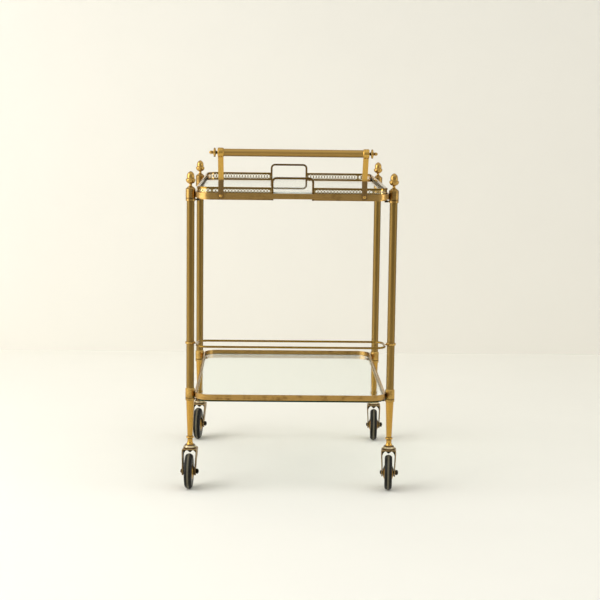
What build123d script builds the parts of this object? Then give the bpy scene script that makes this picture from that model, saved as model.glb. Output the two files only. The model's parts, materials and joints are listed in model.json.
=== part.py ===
from build123d import *
import math
import os

# Two-tier bar cart in brass and glass, in millimetres.
# It is modelled about the middle of its four legs, with the floor at height zero, X across and Y along.
# The push handle is at the -Y end. At the end everything moves so that the origin is the footprint's centre.

# Legs
leg_pitch_x = 425.0
leg_pitch_y = 470.0
leg_tube_diameter = 16.5
leg_tube_wall = 1.2

# Flat brass strips that frame the two tiers
shelf_strip_bottom = 196.0
tier_spacing = 423.2
strip_height = 11.5
strip_thickness = 3.0
strip_corner_radius = 35.0
strip_end_overhang = 44.0

# Collars that join the strips to the legs; each drop is how far a collar reaches below its strip
collar_height = 27.2
top_collar_wall = 2.1
top_collar_drop = 8.2
shelf_collar_wall = 1.8
shelf_collar_drop = 9.0
collar_chamfer = 2.2
collar_groove_width = 1.2
collar_groove_depth = 0.5
collar_groove_rise = 5.0
collar_seat_depth = 0.1
cap_thickness = 3.4

# Acorn finials
finial_height = 34.4
finial_radius = 10.2
finial_stud_diameter = 5.0
finial_stud_length = 6.0

# Tapered feet
foot_top_diameter = 16.8
foot_spigot_length = 12.0
ankle_diameter = 11.4
ankle_ring_diameter = 16.2
ankle_ring_height = 4.6
ankle_neck_length = 5.4
foot_flare_diameter = 17.0
foot_flare_height = 8.0

# Caster wheels
wheel_diameter = 75.0
tyre_width = 16.0
tread_band_width = 3.8
tread_band_rise = 0.7
hub_diameter = 37.0
hub_rim_inset = 0.5
hub_rim_lip = 1.8
hub_boss_diameter = 13.0

# Caster forks and swivels
caster_trail = 22.0
fork_waist_gap = 4.2  # between the tyre and the fork's legs at the axle
fork_pinch = 1.3  # how much wider each side of the fork is at the crown
fork_thickness = 2.5
fork_wheel_gap = 5.9  # between the tyre and the crown above it
fork_crown_thickness = 2.8
fork_crown_length = 29.0
fork_shoulder_radius = 3.5
fork_bend_rise = 11.0  # from the axle up to where the legs start to spread
fork_bend_height = 25.5
fork_end_radius = 9.0
fork_web_thickness = 2.0
fork_arch_radius = 13.0
fork_arch_drop = 14.0  # from the crown down to the middle of the web's arch
fork_arch_gap = 0.6  # between the web and the riveted end of the stem
stem_diameter = 8.0
stem_length = 32.0
race_diameter = 28.0
race_top_diameter = 20.0
race_height = 7.0
race_lip_height = 2.2
rivet_diameter = 11.0
rivet_height = 6.8

# Caster axle bolts
axle_diameter = 6.0
axle_head_diameter = 8.6
axle_head_height = 3.2
axle_nut_across_flats = 9.6
axle_nut_height = 5.0
axle_end_length = 1.2

# How far each caster has swivelled, in degrees
caster_swivels = {"front_left": 3.0, "front_right": 4.5, "rear_left": 6.0, "rear_right": 3.0}

# Lower glass shelf
shelf_glass_thickness = 6.0
shelf_glass_drop = 4.0  # how far the glass hangs below its strip
shelf_glass_gap = 0.8
glass_edge_radius = 0.8

# Lift-off tray: glass in a brass rim, under a pierced gallery with a bead along its top
tray_drop = 2.8  # how far the rim hangs below the strip
tray_wall = 1.2
tray_rim_rise = 0.8  # top of the solid rim above the strip
tray_ledge_width = 6.0
tray_ledge_thickness = 1.3
tray_glass_thickness = 5.0
tray_glass_rise = 3.0  # top of the glass above the strip
gallery_pitch = 6.65
gallery_web = 2.0  # brass left between two holes
gallery_margin = 1.45  # brass left above and below a hole
gallery_eyelet_margin = 0.3
bead_width = 3.4
bead_height = 4.1
tray_handle_wire = 4.5
tray_handle_width = 88.6
tray_handle_rise = 33.7
tray_handle_bend = 8.5

# Pegs that carry the glass shelf and the tray, each with a rubber sleeve
peg_diameter = 3.0
peg_reach = 5.9  # how far a peg shows inside its strip
peg_sleeve_wall = 0.75
peg_sleeve_length = 7.0

# Push handle; its heights are measured from the top of the upper strip
handle_tube_diameter = 15.4
handle_tube_wall = 1.2
handle_rise = 84.9
handle_reach = 34.0
upright_inset = 54.2  # from the side of the strip to the upright's middle
upright_width = 11.3
upright_thickness = 3.0
upright_corner_radius = 2.0
upright_lean_rise = 29.3
upright_bend_radius = 12.0
boss_wall = 2.0
boss_width = 12.4
boss_chamfer = 1.2
knob_length = 17.3
knob_radius = 9.4
knob_spigot_length = 8.0

# Bottle rail round the front legs
rail_rise = 101.0  # above the top of the lower strip
rail_wire = 4.6
rail_depth = 79.0
rail_corner_radius = 22.0
rail_ring_gap = 1.85
ring_wall = 2.2
ring_height = 5.0
ring_rise = 2.4
ring_rounding = 0.7
ring_stud_diameter = 2.4
ring_stud_rise = 1.1

# Screws
strip_screw_diameter = 3.8
strip_screw_head_diameter = 6.6
handle_screw_diameter = 4.0
handle_screw_head_diameter = 7.2
handle_screw_head_height = 2.8
screw_slot_width = 0.9
screw_slot_depth = 0.8

# Clearances
press_gap = 0.05  # between pieces fixed one inside the other
running_gap = 0.06  # between a turning piece and its pin
side_gap = 0.3  # between faces that slide past each other
cut_overrun = 1.0  # how far a cutting tool runs past what it cuts

# Outlines, as shares of the sizes that they follow
# Acorn, up to its round tip: arcs through three points, each a share of the finial's radius and of its height
finial_arc_shares = [
    ((0.66, 0.0), (0.70, 0.025), (0.64, 0.05)),
    ((0.64, 0.05), (0.38, 0.10), (0.30, 0.205)),
    ((0.30, 0.205), (0.31, 0.23), (0.34, 0.25)),
    ((0.34, 0.25), (0.77, 0.31), (0.99, 0.44)),
    ((0.99, 0.44), (0.97, 0.52), (0.81, 0.56)),
    ((0.76, 0.56), (0.79, 0.64), (0.77, 0.72)),
    ((0.77, 0.72), (0.60, 0.88), (0.24, 0.975)),
]
# Handle knob, up to its round tip: arcs through three points, each a share of its length and of its radius
knob_arc_shares = [
    ((0.0, 0.42), (0.03, 0.31), (0.08, 0.27)),
    ((0.08, 0.27), (0.16, 0.40), (0.22, 0.80)),
    ((0.23, 0.94), (0.34, 1.0), (0.45, 0.94)),
    ((0.46, 0.78), (0.52, 0.46), (0.60, 0.30)),
    ((0.60, 0.30), (0.73, 0.38), (0.86, 0.33)),
]
# Where the flare under the ankle passes, as shares of its height and of its spread
flare_height_share = 0.42
flare_spread_share = 0.28
# Where the tyre's side ends and its shoulder passes, as shares of the wheel's radius and of the tyre's width
tyre_side_share = 0.80
tyre_shoulder_radius_share = 0.945
tyre_shoulder_width_share = 0.36
# Eyelets between the gallery's holes, and the bead's rounding
eyelet_width_share = 0.62
eyelet_height_share = 0.33
bead_rounding_share = 0.42

# Places that follow from the sizes above
leg_x = leg_pitch_x / 2
leg_y = leg_pitch_y / 2
tube_radius = leg_tube_diameter / 2
tube_bore = tube_radius - leg_tube_wall
top_collar_radius = tube_radius + press_gap + top_collar_wall
shelf_collar_radius = tube_radius + press_gap + shelf_collar_wall
strip_seat = top_collar_radius - collar_seat_depth
strip_half_x = leg_x - strip_seat
strip_half_y = leg_y + strip_end_overhang
shelf_strip_top = shelf_strip_bottom + strip_height
top_strip_bottom = shelf_strip_bottom + tier_spacing
top_strip_top = top_strip_bottom + strip_height
shelf_collar_bottom = shelf_strip_bottom - shelf_collar_drop
top_collar_bottom = top_strip_bottom - top_collar_drop
top_collar_top = top_collar_bottom + collar_height
wheel_radius = wheel_diameter / 2
fork_waist = tyre_width / 2 + fork_waist_gap + fork_thickness
crown_bottom = wheel_diameter + fork_wheel_gap
crown_top = crown_bottom + fork_crown_thickness
race_bottom = crown_top + side_gap
foot_bottom = race_bottom + race_height
ankle_ring_bottom = foot_bottom + foot_flare_height + ankle_neck_length
shelf_glass_bottom = shelf_strip_bottom - shelf_glass_drop
tray_gap = (tray_handle_wire - tray_wall) / 2 + side_gap
tray_half_x = strip_half_x - strip_thickness - tray_gap
tray_half_y = strip_half_y - strip_thickness - tray_gap
tray_corner = strip_corner_radius - strip_thickness - tray_gap
tray_bottom = top_strip_bottom - tray_drop
tray_glass_bottom = top_strip_top + tray_glass_rise - tray_glass_thickness
rim_top = top_strip_top + tray_rim_rise
gallery_hole_radius = (gallery_pitch - gallery_web) / 2
gallery_height = 2 * (gallery_hole_radius + gallery_margin)
gallery_middle = rim_top + gallery_height / 2
bead_bottom = rim_top + gallery_height
wall_line_x = tray_half_x - tray_wall / 2
wall_line_y = tray_half_y - tray_wall / 2
peg_start = tube_bore
peg_end = strip_seat + strip_thickness + peg_reach
peg_sleeve_radius = peg_diameter / 2 + press_gap + peg_sleeve_wall
shelf_peg_height = shelf_glass_bottom - peg_sleeve_radius - press_gap
tray_peg_height = tray_bottom - peg_sleeve_radius - side_gap
grip_radius = handle_tube_diameter / 2
grip_height = top_strip_top + handle_rise
grip_y = -strip_half_y - handle_reach
upright_x = strip_half_x - upright_inset
boss_radius = grip_radius + press_gap + boss_wall
boss_face = upright_x + boss_width / 2
rail_height = shelf_strip_top + rail_rise
ring_radius = tube_radius + press_gap + ring_wall
rail_half_x = leg_x - ring_radius - rail_ring_gap - rail_wire / 2

corners = {"front_left": (-1, -1), "front_right": (1, -1), "rear_left": (-1, 1), "rear_right": (1, 1)}
from_floor = (Align.CENTER, Align.CENTER, Align.MIN)


def rod(radius, start, end):
    """A vertical cylinder on the Z axis between two heights."""
    return Pos(0, 0, start) * Cylinder(radius, end - start, align=from_floor)


def rod_x(radius, start, end):
    """A cylinder on the X axis between two places."""
    return Rot(0, 90, 0) * rod(radius, start, end)


def sleeve(outer, inner, start, end):
    return rod(outer, start, end) - rod(inner, start - cut_overrun, end + cut_overrun)


def turned(points):
    """A solid turned about Z from a closed outline of radius and height."""
    outline = Polyline(*[(radius, 0, height) for radius, height in points], close=True)
    return revolve(make_face(outline), Axis.Z)


def round_end(radius, height, tip):
    """The outline of a round end: an arc about the axis, from its rim to its tip."""
    whole = ThreePointArc((radius, 0, height), (0, 0, tip), (-radius, 0, height))
    return whole.trim(0, 1 / 2)


def turned_arcs(arcs, base, tip):
    """A solid turned about Z from arcs of radius and height, joined by lines, flat below and round above."""
    edges = [Line((0, 0, base), (arcs[0][0][0], 0, arcs[0][0][1]))]
    for arc, following in zip(arcs, arcs[1:] + [arcs[-1][-1:]]):
        edges.append(ThreePointArc(*[(radius, 0, height) for radius, height in arc]))
        if following[0] != arc[-1]:
            edges.append(Line((arc[-1][0], 0, arc[-1][1]), (following[0][0], 0, following[0][1])))
    edges.append(round_end(*arcs[-1][-1], tip))
    edges.append(Line((0, 0, tip), (0, 0, base)))
    return revolve(make_face(edges), Axis.Z)


def dome(radius, height):
    outline = [Line((0, 0, 0), (radius, 0, 0)), round_end(radius, 0, height), Line((0, 0, height), (0, 0, 0))]
    return revolve(make_face(outline), Axis.Z)


def rounded_slab(half_x, half_y, corner, bottom, height):
    return Pos(0, 0, bottom) * extrude(RectangleRounded(2 * half_x, 2 * half_y, corner), height)


def rounded_ring(half_x, half_y, corner, thickness, bottom, height):
    """A band of even thickness that runs round a rounded rectangle."""
    outer = rounded_slab(half_x, half_y, corner, bottom, height)
    inner = rounded_slab(half_x - thickness, half_y - thickness, corner - thickness,
                         bottom - cut_overrun, height + 2 * cut_overrun)
    return outer - inner


def wire(path, diameter):
    """Round wire along a path."""
    start = Plane(origin=path @ 0, z_dir=path % 0)
    return sweep(start * Circle(diameter / 2), path=path)


def inward(shape, side):
    """Turn a shape that points along +X so that it points from its leg towards the middle of the cart."""
    return Rot(0, 0, 180 if side > 0 else 0) * shape


def at_leg(shape, side, end):
    return Pos(side * leg_x, end * leg_y, 0) * shape


# Legs, collars, finials and feet

def leg_side_holes(side, strip_bottom, peg_height):
    """Holes through a collar and its tube for the strip's screw and for the peg."""
    screw = rod_x(strip_screw_diameter / 2 + press_gap, 0, leg_tube_diameter)
    peg = rod_x(peg_diameter / 2 + press_gap, 0, leg_tube_diameter)
    holes = Pos(0, 0, strip_bottom + strip_height / 2) * screw + Pos(0, 0, peg_height) * peg
    return inward(holes, side)


def leg_tube(side):
    """The plain tube, from the bottom of the lower collar to the cap inside the upper one."""
    body = sleeve(tube_radius, tube_bore, shelf_collar_bottom, top_collar_top - cap_thickness - press_gap)
    body -= leg_side_holes(side, shelf_strip_bottom, shelf_peg_height)
    body -= leg_side_holes(side, top_strip_bottom, tray_peg_height)
    return body


def collar(side, radius, bottom, bore_top, strip_bottom, peg_height):
    """A turned collar with a chamfered top, a fine groove and a flat where the strip lies on it."""
    top = bottom + collar_height
    body = turned([(0, bottom), (radius, bottom), (radius, top - collar_chamfer),
                   (radius - collar_chamfer, top), (0, top)])
    body -= rod(tube_radius + press_gap, bottom - cut_overrun, bore_top)
    groove_bottom = bottom + collar_groove_rise
    groove_top = groove_bottom + collar_groove_width
    body -= sleeve(2 * radius, radius - collar_groove_depth, groove_bottom, groove_top)
    body -= leg_side_holes(side, strip_bottom, peg_height)
    seat = Box(radius, 2 * radius, collar_height, align=(Align.MIN, Align.CENTER, Align.MIN))
    return body - inward(Pos(strip_seat, 0, bottom) * seat, side)


def top_collar(side):
    """The upper collar is a cap: it closes the tube and takes the finial's stud."""
    body = collar(side, top_collar_radius, top_collar_bottom, top_collar_top - cap_thickness,
                  top_strip_bottom, tray_peg_height)
    return body - rod(finial_stud_diameter / 2 + press_gap, top_collar_bottom, top_collar_top + cut_overrun)


def shelf_collar(side):
    """The lower collar is an open sleeve."""
    return collar(side, shelf_collar_radius, shelf_collar_bottom,
                  shelf_collar_bottom + collar_height + cut_overrun, shelf_strip_bottom, shelf_peg_height)


def finial():
    """An acorn on a waisted foot, with a stud that screws into the cap below it."""
    arcs = [[(radius * finial_radius, top_collar_top + height * finial_height) for radius, height in arc]
            for arc in finial_arc_shares]
    stud_bottom = top_collar_top - finial_stud_length
    stud = rod(finial_stud_diameter / 2, stud_bottom, top_collar_top + finial_stud_length)
    return turned_arcs(arcs, top_collar_top, top_collar_top + finial_height) + stud


def foot():
    """The turned foot: spigot, long taper, ankle ring, neck and flare, bored for the caster's stem."""
    neck = ankle_diameter / 2
    spigot = tube_bore - press_gap
    spigot_top = shelf_collar_bottom + foot_spigot_length
    ring_top = ankle_ring_bottom + ankle_ring_height
    ring_out = ankle_ring_diameter / 2
    ring_flat = ring_out - ankle_ring_height / 2
    flare_top = foot_bottom + foot_flare_height
    flare_out = foot_flare_diameter / 2
    pass_radius = neck + flare_spread_share * (flare_out - neck)
    pass_height = foot_bottom + flare_height_share * foot_flare_height
    outline = [
        Polyline((0, 0, foot_bottom), (0, 0, spigot_top), (spigot, 0, spigot_top),
                 (spigot, 0, shelf_collar_bottom), (foot_top_diameter / 2, 0, shelf_collar_bottom),
                 (neck, 0, ring_top), (ring_flat, 0, ring_top)),
        ThreePointArc((ring_flat, 0, ring_top), (ring_out, 0, (ring_top + ankle_ring_bottom) / 2),
                      (ring_flat, 0, ankle_ring_bottom)),
        Polyline((ring_flat, 0, ankle_ring_bottom), (neck, 0, ankle_ring_bottom), (neck, 0, flare_top)),
        ThreePointArc((neck, 0, flare_top), (pass_radius, 0, pass_height), (flare_out, 0, foot_bottom)),
        Line((flare_out, 0, foot_bottom), (0, 0, foot_bottom)),
    ]
    body = revolve(make_face(outline), Axis.Z)
    bore_top = foot_bottom + stem_length + press_gap
    return body - rod(stem_diameter / 2 + press_gap, foot_bottom - cut_overrun, bore_top)


# Casters, made with the swivel axis on Z and the wheel trailing towards -Y

def caster_stem():
    """The swivel pin: a stem fixed in the foot, a bearing race, and an end riveted under the fork's crown."""
    pin = stem_diameter / 2
    race = race_diameter / 2
    rivet = rivet_diameter / 2
    rivet_top = crown_bottom - side_gap
    rivet_bottom = rivet_top - rivet_height
    return turned([
        (0, foot_bottom + stem_length), (pin, foot_bottom + stem_length), (pin, foot_bottom),
        (race_top_diameter / 2, foot_bottom), (race, race_bottom + race_lip_height), (race, race_bottom),
        (pin, race_bottom), (pin, rivet_top), (rivet, rivet_top), (rivet, rivet_bottom + rivet_height / 2),
        (rivet - rivet_height / 2, rivet_bottom), (0, rivet_bottom),
    ])


def at_axle(shape):
    return Pos(0, -caster_trail, wheel_radius) * shape


def fork_web(spread):
    """A thin web across the fork under its crown, cut to an arch over the wheel and round the stem's end."""
    middle = crown_bottom - fork_arch_drop
    front = Rectangle(2 * spread - fork_thickness, fork_arch_drop, align=(Align.CENTER, Align.MIN))
    front -= Circle(fork_arch_radius)
    web = extrude(Plane.XZ * (Pos(0, middle) * front), fork_web_thickness / 2, both=True)
    return web - rod(rivet_diameter / 2 + fork_arch_gap, middle, crown_bottom)


def fork():
    """A plate bent over the wheel and drawn in towards the axle, its legs raked to the trailing axle."""
    spread = fork_waist + fork_pinch
    bend_low = wheel_radius + fork_bend_rise
    bend_high = bend_low + fork_bend_height
    leg_end = wheel_radius - fork_end_radius - cut_overrun
    right = [(spread, crown_top), (spread, bend_high), (fork_waist, bend_low), (fork_waist, leg_end),
             (fork_waist - fork_thickness, leg_end), (fork_waist - fork_thickness, bend_low),
             (spread - fork_thickness, bend_high), (spread - fork_thickness, crown_bottom)]
    left = [(-x, z) for x, z in reversed(right)]
    front = make_face(Polyline(*right, *left, close=True))
    plate = extrude(Plane.XZ * front, fork_crown_length + caster_trail, both=True)
    plate = fillet(plate.edges().filter_by(Axis.Y).group_by(Axis.Z)[-1], fork_shoulder_radius)
    plate += fork_web(spread)
    crown = Rectangle(fork_crown_length, fork_crown_thickness)
    crown = Pos(0, crown_bottom + fork_crown_thickness / 2) * crown
    eye = Pos(-caster_trail, wheel_radius) * Circle(fork_end_radius)
    side = make_hull(crown.edges() + eye.edges())
    body = plate & extrude(Plane.YZ * side, 2 * spread, both=True)
    body -= at_axle(rod_x(axle_diameter / 2 + press_gap, -2 * spread, 2 * spread))
    return body - rod(stem_diameter / 2 + running_gap, crown_bottom - cut_overrun, crown_top + cut_overrun)


def hub():
    """A brass hub with a cone on each side that rises from its rim to a boss that fills the fork."""
    bore = axle_diameter / 2 + running_gap
    boss_face_height = fork_waist - fork_thickness - side_gap
    rim = hub_diameter / 2
    rim_face = tyre_width / 2 - hub_rim_inset
    upper = [(bore, boss_face_height), (hub_boss_diameter / 2, boss_face_height),
             (rim - hub_rim_lip, rim_face), (rim, rim_face)]
    lower = [(radius, -height) for radius, height in reversed(upper)]
    return at_axle(Rot(0, 90, 0) * turned(upper + lower))


def tyre():
    """A rubber tyre with round shoulders and a narrow raised band round the middle of its tread."""
    inner = hub_diameter / 2 + press_gap
    half = tyre_width / 2
    side = wheel_radius * tyre_side_share
    band = tread_band_width / 2
    tread = wheel_radius - tread_band_rise
    shoulder = (wheel_radius * tyre_shoulder_radius_share, tyre_width * tyre_shoulder_width_share)

    def at(radius, height):
        return (radius, 0, height)

    outline = [
        Polyline(at(side, -half), at(inner, -half), at(inner, half), at(side, half)),
        ThreePointArc(at(side, half), at(*shoulder), at(tread, band)),
        Polyline(at(tread, band), at(wheel_radius, band), at(wheel_radius, -band), at(tread, -band)),
        ThreePointArc(at(tread, -band), at(shoulder[0], -shoulder[1]), at(side, -half)),
    ]
    return at_axle(Rot(0, 90, 0) * revolve(make_face(outline), Axis.Z))


def axle_bolt():
    """The axle bolt with a round head on the left, and its nut on the right as a second solid."""
    shank = axle_diameter / 2
    nut_end = fork_waist + axle_nut_height
    head_edge = axle_head_height / 2
    head = turned([(0, 0), (axle_head_diameter / 2, 0), (axle_head_diameter / 2, head_edge),
                   (axle_head_diameter / 2 - head_edge, axle_head_height), (0, axle_head_height)])
    bolt = Pos(-fork_waist, 0, 0) * (Rot(0, -90, 0) * head)
    bolt += rod_x(shank, -fork_waist, nut_end + axle_end_length)
    flats = RegularPolygon(axle_nut_across_flats / 2, side_count=6, major_radius=False)
    nut = Rot(0, 90, 0) * (Pos(0, 0, fork_waist) * extrude(flats, axle_nut_height))
    nut -= rod_x(shank + press_gap, fork_waist - cut_overrun, nut_end + cut_overrun)
    return [at_axle(bolt), at_axle(nut)]


# The two strips and their fixings

def strip_screw():
    """A countersunk screw along +X from inside a leg, with its head flush in the strip's inner face."""
    head_face = strip_seat + strip_thickness
    head_depth = (strip_screw_head_diameter - strip_screw_diameter) / 2
    shank = strip_screw_diameter / 2
    body = turned([(0, tube_bore), (shank, tube_bore), (shank, head_face - head_depth),
                   (strip_screw_head_diameter / 2, head_face), (0, head_face)])
    slot = Box(strip_screw_head_diameter, screw_slot_width, 2 * screw_slot_depth)
    return Rot(0, 90, 0) * (body - Pos(0, 0, head_face) * slot)


def strip_screw_hole():
    """The countersunk hole for that screw."""
    near = strip_seat - cut_overrun
    far = strip_seat + strip_thickness
    head_depth = (strip_screw_head_diameter - strip_screw_diameter) / 2
    shank = strip_screw_diameter / 2 + press_gap
    head = strip_screw_head_diameter / 2 + press_gap
    return Rot(0, 90, 0) * turned([(0, near), (shank, near), (shank, far - head_depth), (head, far),
                                   (head, far + cut_overrun), (0, far + cut_overrun)])


def screw_places(strip_bottom):
    return [(side, end, strip_bottom + strip_height / 2) for side, end in corners.values()]


def strip(bottom):
    """One flat strip bent on edge into a rounded rectangle."""
    body = rounded_ring(strip_half_x, strip_half_y, strip_corner_radius, strip_thickness,
                        bottom, strip_height)
    for side, end, height in screw_places(bottom):
        body -= Pos(0, 0, height) * at_leg(inward(strip_screw_hole(), side), side, end)
    return body


def handle_screw_shape(extra):
    """A round-head screw along +Y through an upright into the strip, with its shank grown by a clearance."""
    face = -strip_half_y - upright_thickness
    shank = Pos(0, face, top_strip_bottom + strip_height / 2) * (
        Rot(-90, 0, 0) * rod(handle_screw_diameter / 2 + extra, 0, upright_thickness + strip_thickness))
    return shank


def handle_screw():
    face = -strip_half_y - upright_thickness
    slot = Box(handle_screw_head_diameter, screw_slot_width, 2 * screw_slot_depth)
    head = dome(handle_screw_head_diameter / 2, handle_screw_head_height)
    head -= Pos(0, 0, handle_screw_head_height) * slot
    return Pos(0, face, top_strip_bottom + strip_height / 2) * (Rot(90, 0, 0) * head) + handle_screw_shape(0)


def upper_strip():
    body = strip(top_strip_bottom)
    for side in (-1, 1):
        body -= Pos(side * upright_x, 0, 0) * handle_screw_shape(press_gap)
    return body


def strip_screws():
    screws = []
    for bottom in (shelf_strip_bottom, top_strip_bottom):
        for side, end, height in screw_places(bottom):
            screws.append(Pos(0, 0, height) * at_leg(inward(strip_screw(), side), side, end))
    return screws


def under_corners(shape):
    """A shape along +X repeated at each leg, at the height of the shelf's pegs and of the tray's."""
    heights = (shelf_peg_height, tray_peg_height)
    return [Pos(0, 0, height) * at_leg(inward(shape, side), side, end)
            for height in heights for side, end in corners.values()]


def pegs():
    """Eight short pegs, one under each corner of the glass shelf and of the tray."""
    return under_corners(rod_x(peg_diameter / 2, peg_start, peg_end))


def peg_sleeves():
    inner = peg_diameter / 2 + press_gap
    tube = sleeve(peg_sleeve_radius, inner, peg_end - peg_sleeve_length, peg_end)
    return under_corners(Rot(0, 90, 0) * tube)


def shelf_glass():
    inset = strip_thickness + shelf_glass_gap
    pane = rounded_slab(strip_half_x - inset, strip_half_y - inset, strip_corner_radius - inset,
                        shelf_glass_bottom, shelf_glass_thickness)
    return fillet(pane.faces().filter_by(Axis.Z).edges(), glass_edge_radius)


# The lift-off tray

def tray_side(side):
    """Everything on one side of the gap that the wire handles stand in."""
    reach = 2 * strip_half_x
    block = Box(reach, 2 * reach, 2 * top_strip_top, align=(Align.MIN, Align.CENTER, Align.MIN))
    block = Pos(tray_handle_width / 2 + press_gap, 0, 0) * block
    return block if side > 0 else Rot(0, 0, 180) * block


def tray_rim(side):
    """The plain lower wall of the tray, with the ledge inside it that the glass lies on."""
    wall = rounded_ring(tray_half_x, tray_half_y, tray_corner, tray_wall, tray_bottom, rim_top - tray_bottom)
    inset = tray_wall / 2
    ledge_bottom = tray_glass_bottom - tray_ledge_thickness
    ledge = rounded_ring(tray_half_x - inset, tray_half_y - inset, tray_corner - inset,
                         tray_ledge_width + inset, ledge_bottom, tray_ledge_thickness)
    return (wall + ledge) & tray_side(side)


def tray_glass():
    inset = tray_wall + tray_gap
    pane = rounded_slab(tray_half_x - inset, tray_half_y - inset, tray_corner - inset,
                        tray_glass_bottom, tray_glass_thickness)
    return fillet(pane.faces().filter_by(Axis.Z).edges(), glass_edge_radius)


def eyelet():
    """The small three-sided openings above and below the place where two round holes come closest."""
    base = gallery_height / 2 - gallery_eyelet_margin
    half = gallery_pitch * eyelet_width_share / 2
    tip = base - gallery_pitch * eyelet_height_share
    upper = make_face(Polyline((-half, base), (half, base), (0, tip), close=True))
    lower = make_face(Polyline((-half, -base), (half, -base), (0, -tip), close=True))
    return [upper, lower]


def bead_along(face):
    """A bead with rounded upper edges on a flat strip's outline."""
    body = Pos(0, 0, bead_bottom) * extrude(face, bead_height)
    top = body.faces().sort_by(Axis.Z)[-1]
    long_edges = [edge for edge in top.edges() if edge.length > bead_width * (1 + bead_rounding_share)]
    return fillet(long_edges, bead_width * bead_rounding_share)


def gallery_run(length):
    """A straight run of pierced gallery, centred on the origin and running along X."""
    count = int(length // gallery_pitch)
    face = Rectangle(length, gallery_height)
    first = -(count - 1) / 2 * gallery_pitch
    holes = [Pos(first + index * gallery_pitch, 0) * Circle(gallery_hole_radius) for index in range(count)]
    for index in range(count - 1):
        holes += [Pos(first + (index + 1 / 2) * gallery_pitch, 0) * opening for opening in eyelet()]
    wall = extrude(Plane.XZ * (face - holes), tray_wall / 2, both=True)
    return Pos(0, 0, gallery_middle) * wall + bead_along(Rectangle(length, bead_width))


def gallery_corner():
    """A quarter turn of pierced gallery about the Z axis, in the +X +Y quarter."""
    line = tray_corner - tray_wall / 2
    quarter = Box(2 * tray_corner, 2 * tray_corner, 2 * top_strip_top,
                  align=(Align.MIN, Align.MIN, Align.MIN))
    wall = sleeve(tray_corner, tray_corner - tray_wall, rim_top, bead_bottom) & quarter
    count = int(line * math.pi / 2 // gallery_pitch)
    step = 90 / count
    tools = []
    for index in range(count):
        hole = rod_x(gallery_hole_radius, tray_wall, 2 * line)
        tools.append(Rot(0, 0, (index + 1 / 2) * step) * (Pos(0, 0, gallery_middle) * hole))
        if index:
            for opening in eyelet():
                cutter = extrude(Plane.YZ * opening, 2 * line)
                tools.append(Rot(0, 0, index * step) * (Pos(0, 0, gallery_middle) * cutter))
    ring = Circle(line + bead_width / 2) - Circle(line - bead_width / 2)
    sector = ring & (Rectangle(2 * tray_corner, 2 * tray_corner, align=(Align.MIN, Align.MIN)))
    return (wall - tools) + bead_along(sector)


def gallery(side):
    """One U-shaped half of the gallery, made of straight runs and corners that meet end to end."""
    corner_x = tray_half_x - tray_corner
    corner_y = tray_half_y - tray_corner
    gap = tray_handle_width / 2 + press_gap
    end_run = gallery_run(corner_x - gap)
    side_run = Rot(0, 0, 90) * gallery_run(2 * corner_y)
    quarter = gallery_corner()
    turns = {1: (0, 270), -1: (90, 180)}[side]
    pieces = [Pos(side * wall_line_x, 0, 0) * side_run]
    for end, turn in zip((1, -1), turns):
        pieces.append(Pos(side * (corner_x + gap) / 2, end * wall_line_y, 0) * end_run)
        pieces.append(Pos(side * corner_x, end * corner_y, 0) * (Rot(0, 0, turn) * quarter))
    return pieces


def tray_handle(end):
    """A wire handle that stands in the gap of the gallery and ties its two halves together."""
    half = (tray_handle_width - tray_handle_wire) / 2
    top = top_strip_top + tray_handle_rise - tray_handle_wire / 2
    line = FilletPolyline((-half, 0, tray_bottom), (-half, 0, top), (half, 0, top), (half, 0, tray_bottom),
                          radius=tray_handle_bend)
    return Pos(0, end * wall_line_y, 0) * wire(line, tray_handle_wire)


# The push handle

def upright():
    """A flat bar screwed to the strip, leaning out at the top to a boss that holds the grip tube."""
    middle = -strip_half_y - upright_thickness / 2
    line = FilletPolyline((0, middle, top_strip_bottom), (0, middle, top_strip_top + upright_lean_rise),
                          (0, grip_y, grip_height), radius=upright_bend_radius)
    start = Plane(origin=line @ 0, x_dir=(1, 0, 0), z_dir=(0, 0, 1))
    bar = sweep(start * Rectangle(upright_width, upright_thickness), path=line)
    bar = fillet(bar.edges().filter_by(Axis.Y).group_by(Axis.Z)[0], upright_corner_radius)
    boss = Pos(0, grip_y, grip_height) * rod_x(boss_radius, -boss_width / 2, boss_width / 2)
    boss = chamfer(boss.faces().filter_by(Axis.X).edges(), boss_chamfer)
    bore = Pos(0, grip_y, grip_height) * rod_x(grip_radius + press_gap, -boss_width, boss_width)
    return bar + boss - bore - handle_screw_shape(press_gap)


def grip_tube():
    tube = Rot(0, 90, 0) * sleeve(grip_radius, grip_radius - handle_tube_wall, -boss_face, boss_face)
    return Pos(0, grip_y, grip_height) * tube


def knob():
    """A turned end knob along +X: a thin neck, a thick disc that flares from it, and a small ball."""
    arcs = [[(radius * knob_radius, along * knob_length) for along, radius in arc] for arc in knob_arc_shares]
    body = turned_arcs(arcs, 0, knob_length)
    spigot = rod(grip_radius - handle_tube_wall - press_gap, -knob_spigot_length, 0)
    return Pos(boss_face, grip_y, grip_height) * (Rot(0, 90, 0) * (body + spigot))


# The bottle rail

def bottle_rail():
    """A closed loop of round wire that passes outside both front legs' inner sides."""
    half_y = rail_depth / 2
    loop = RectangleRounded(2 * rail_half_x, 2 * half_y, rail_corner_radius)
    return wire((Pos(0, -leg_y, rail_height) * loop).wire(), rail_wire)


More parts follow.
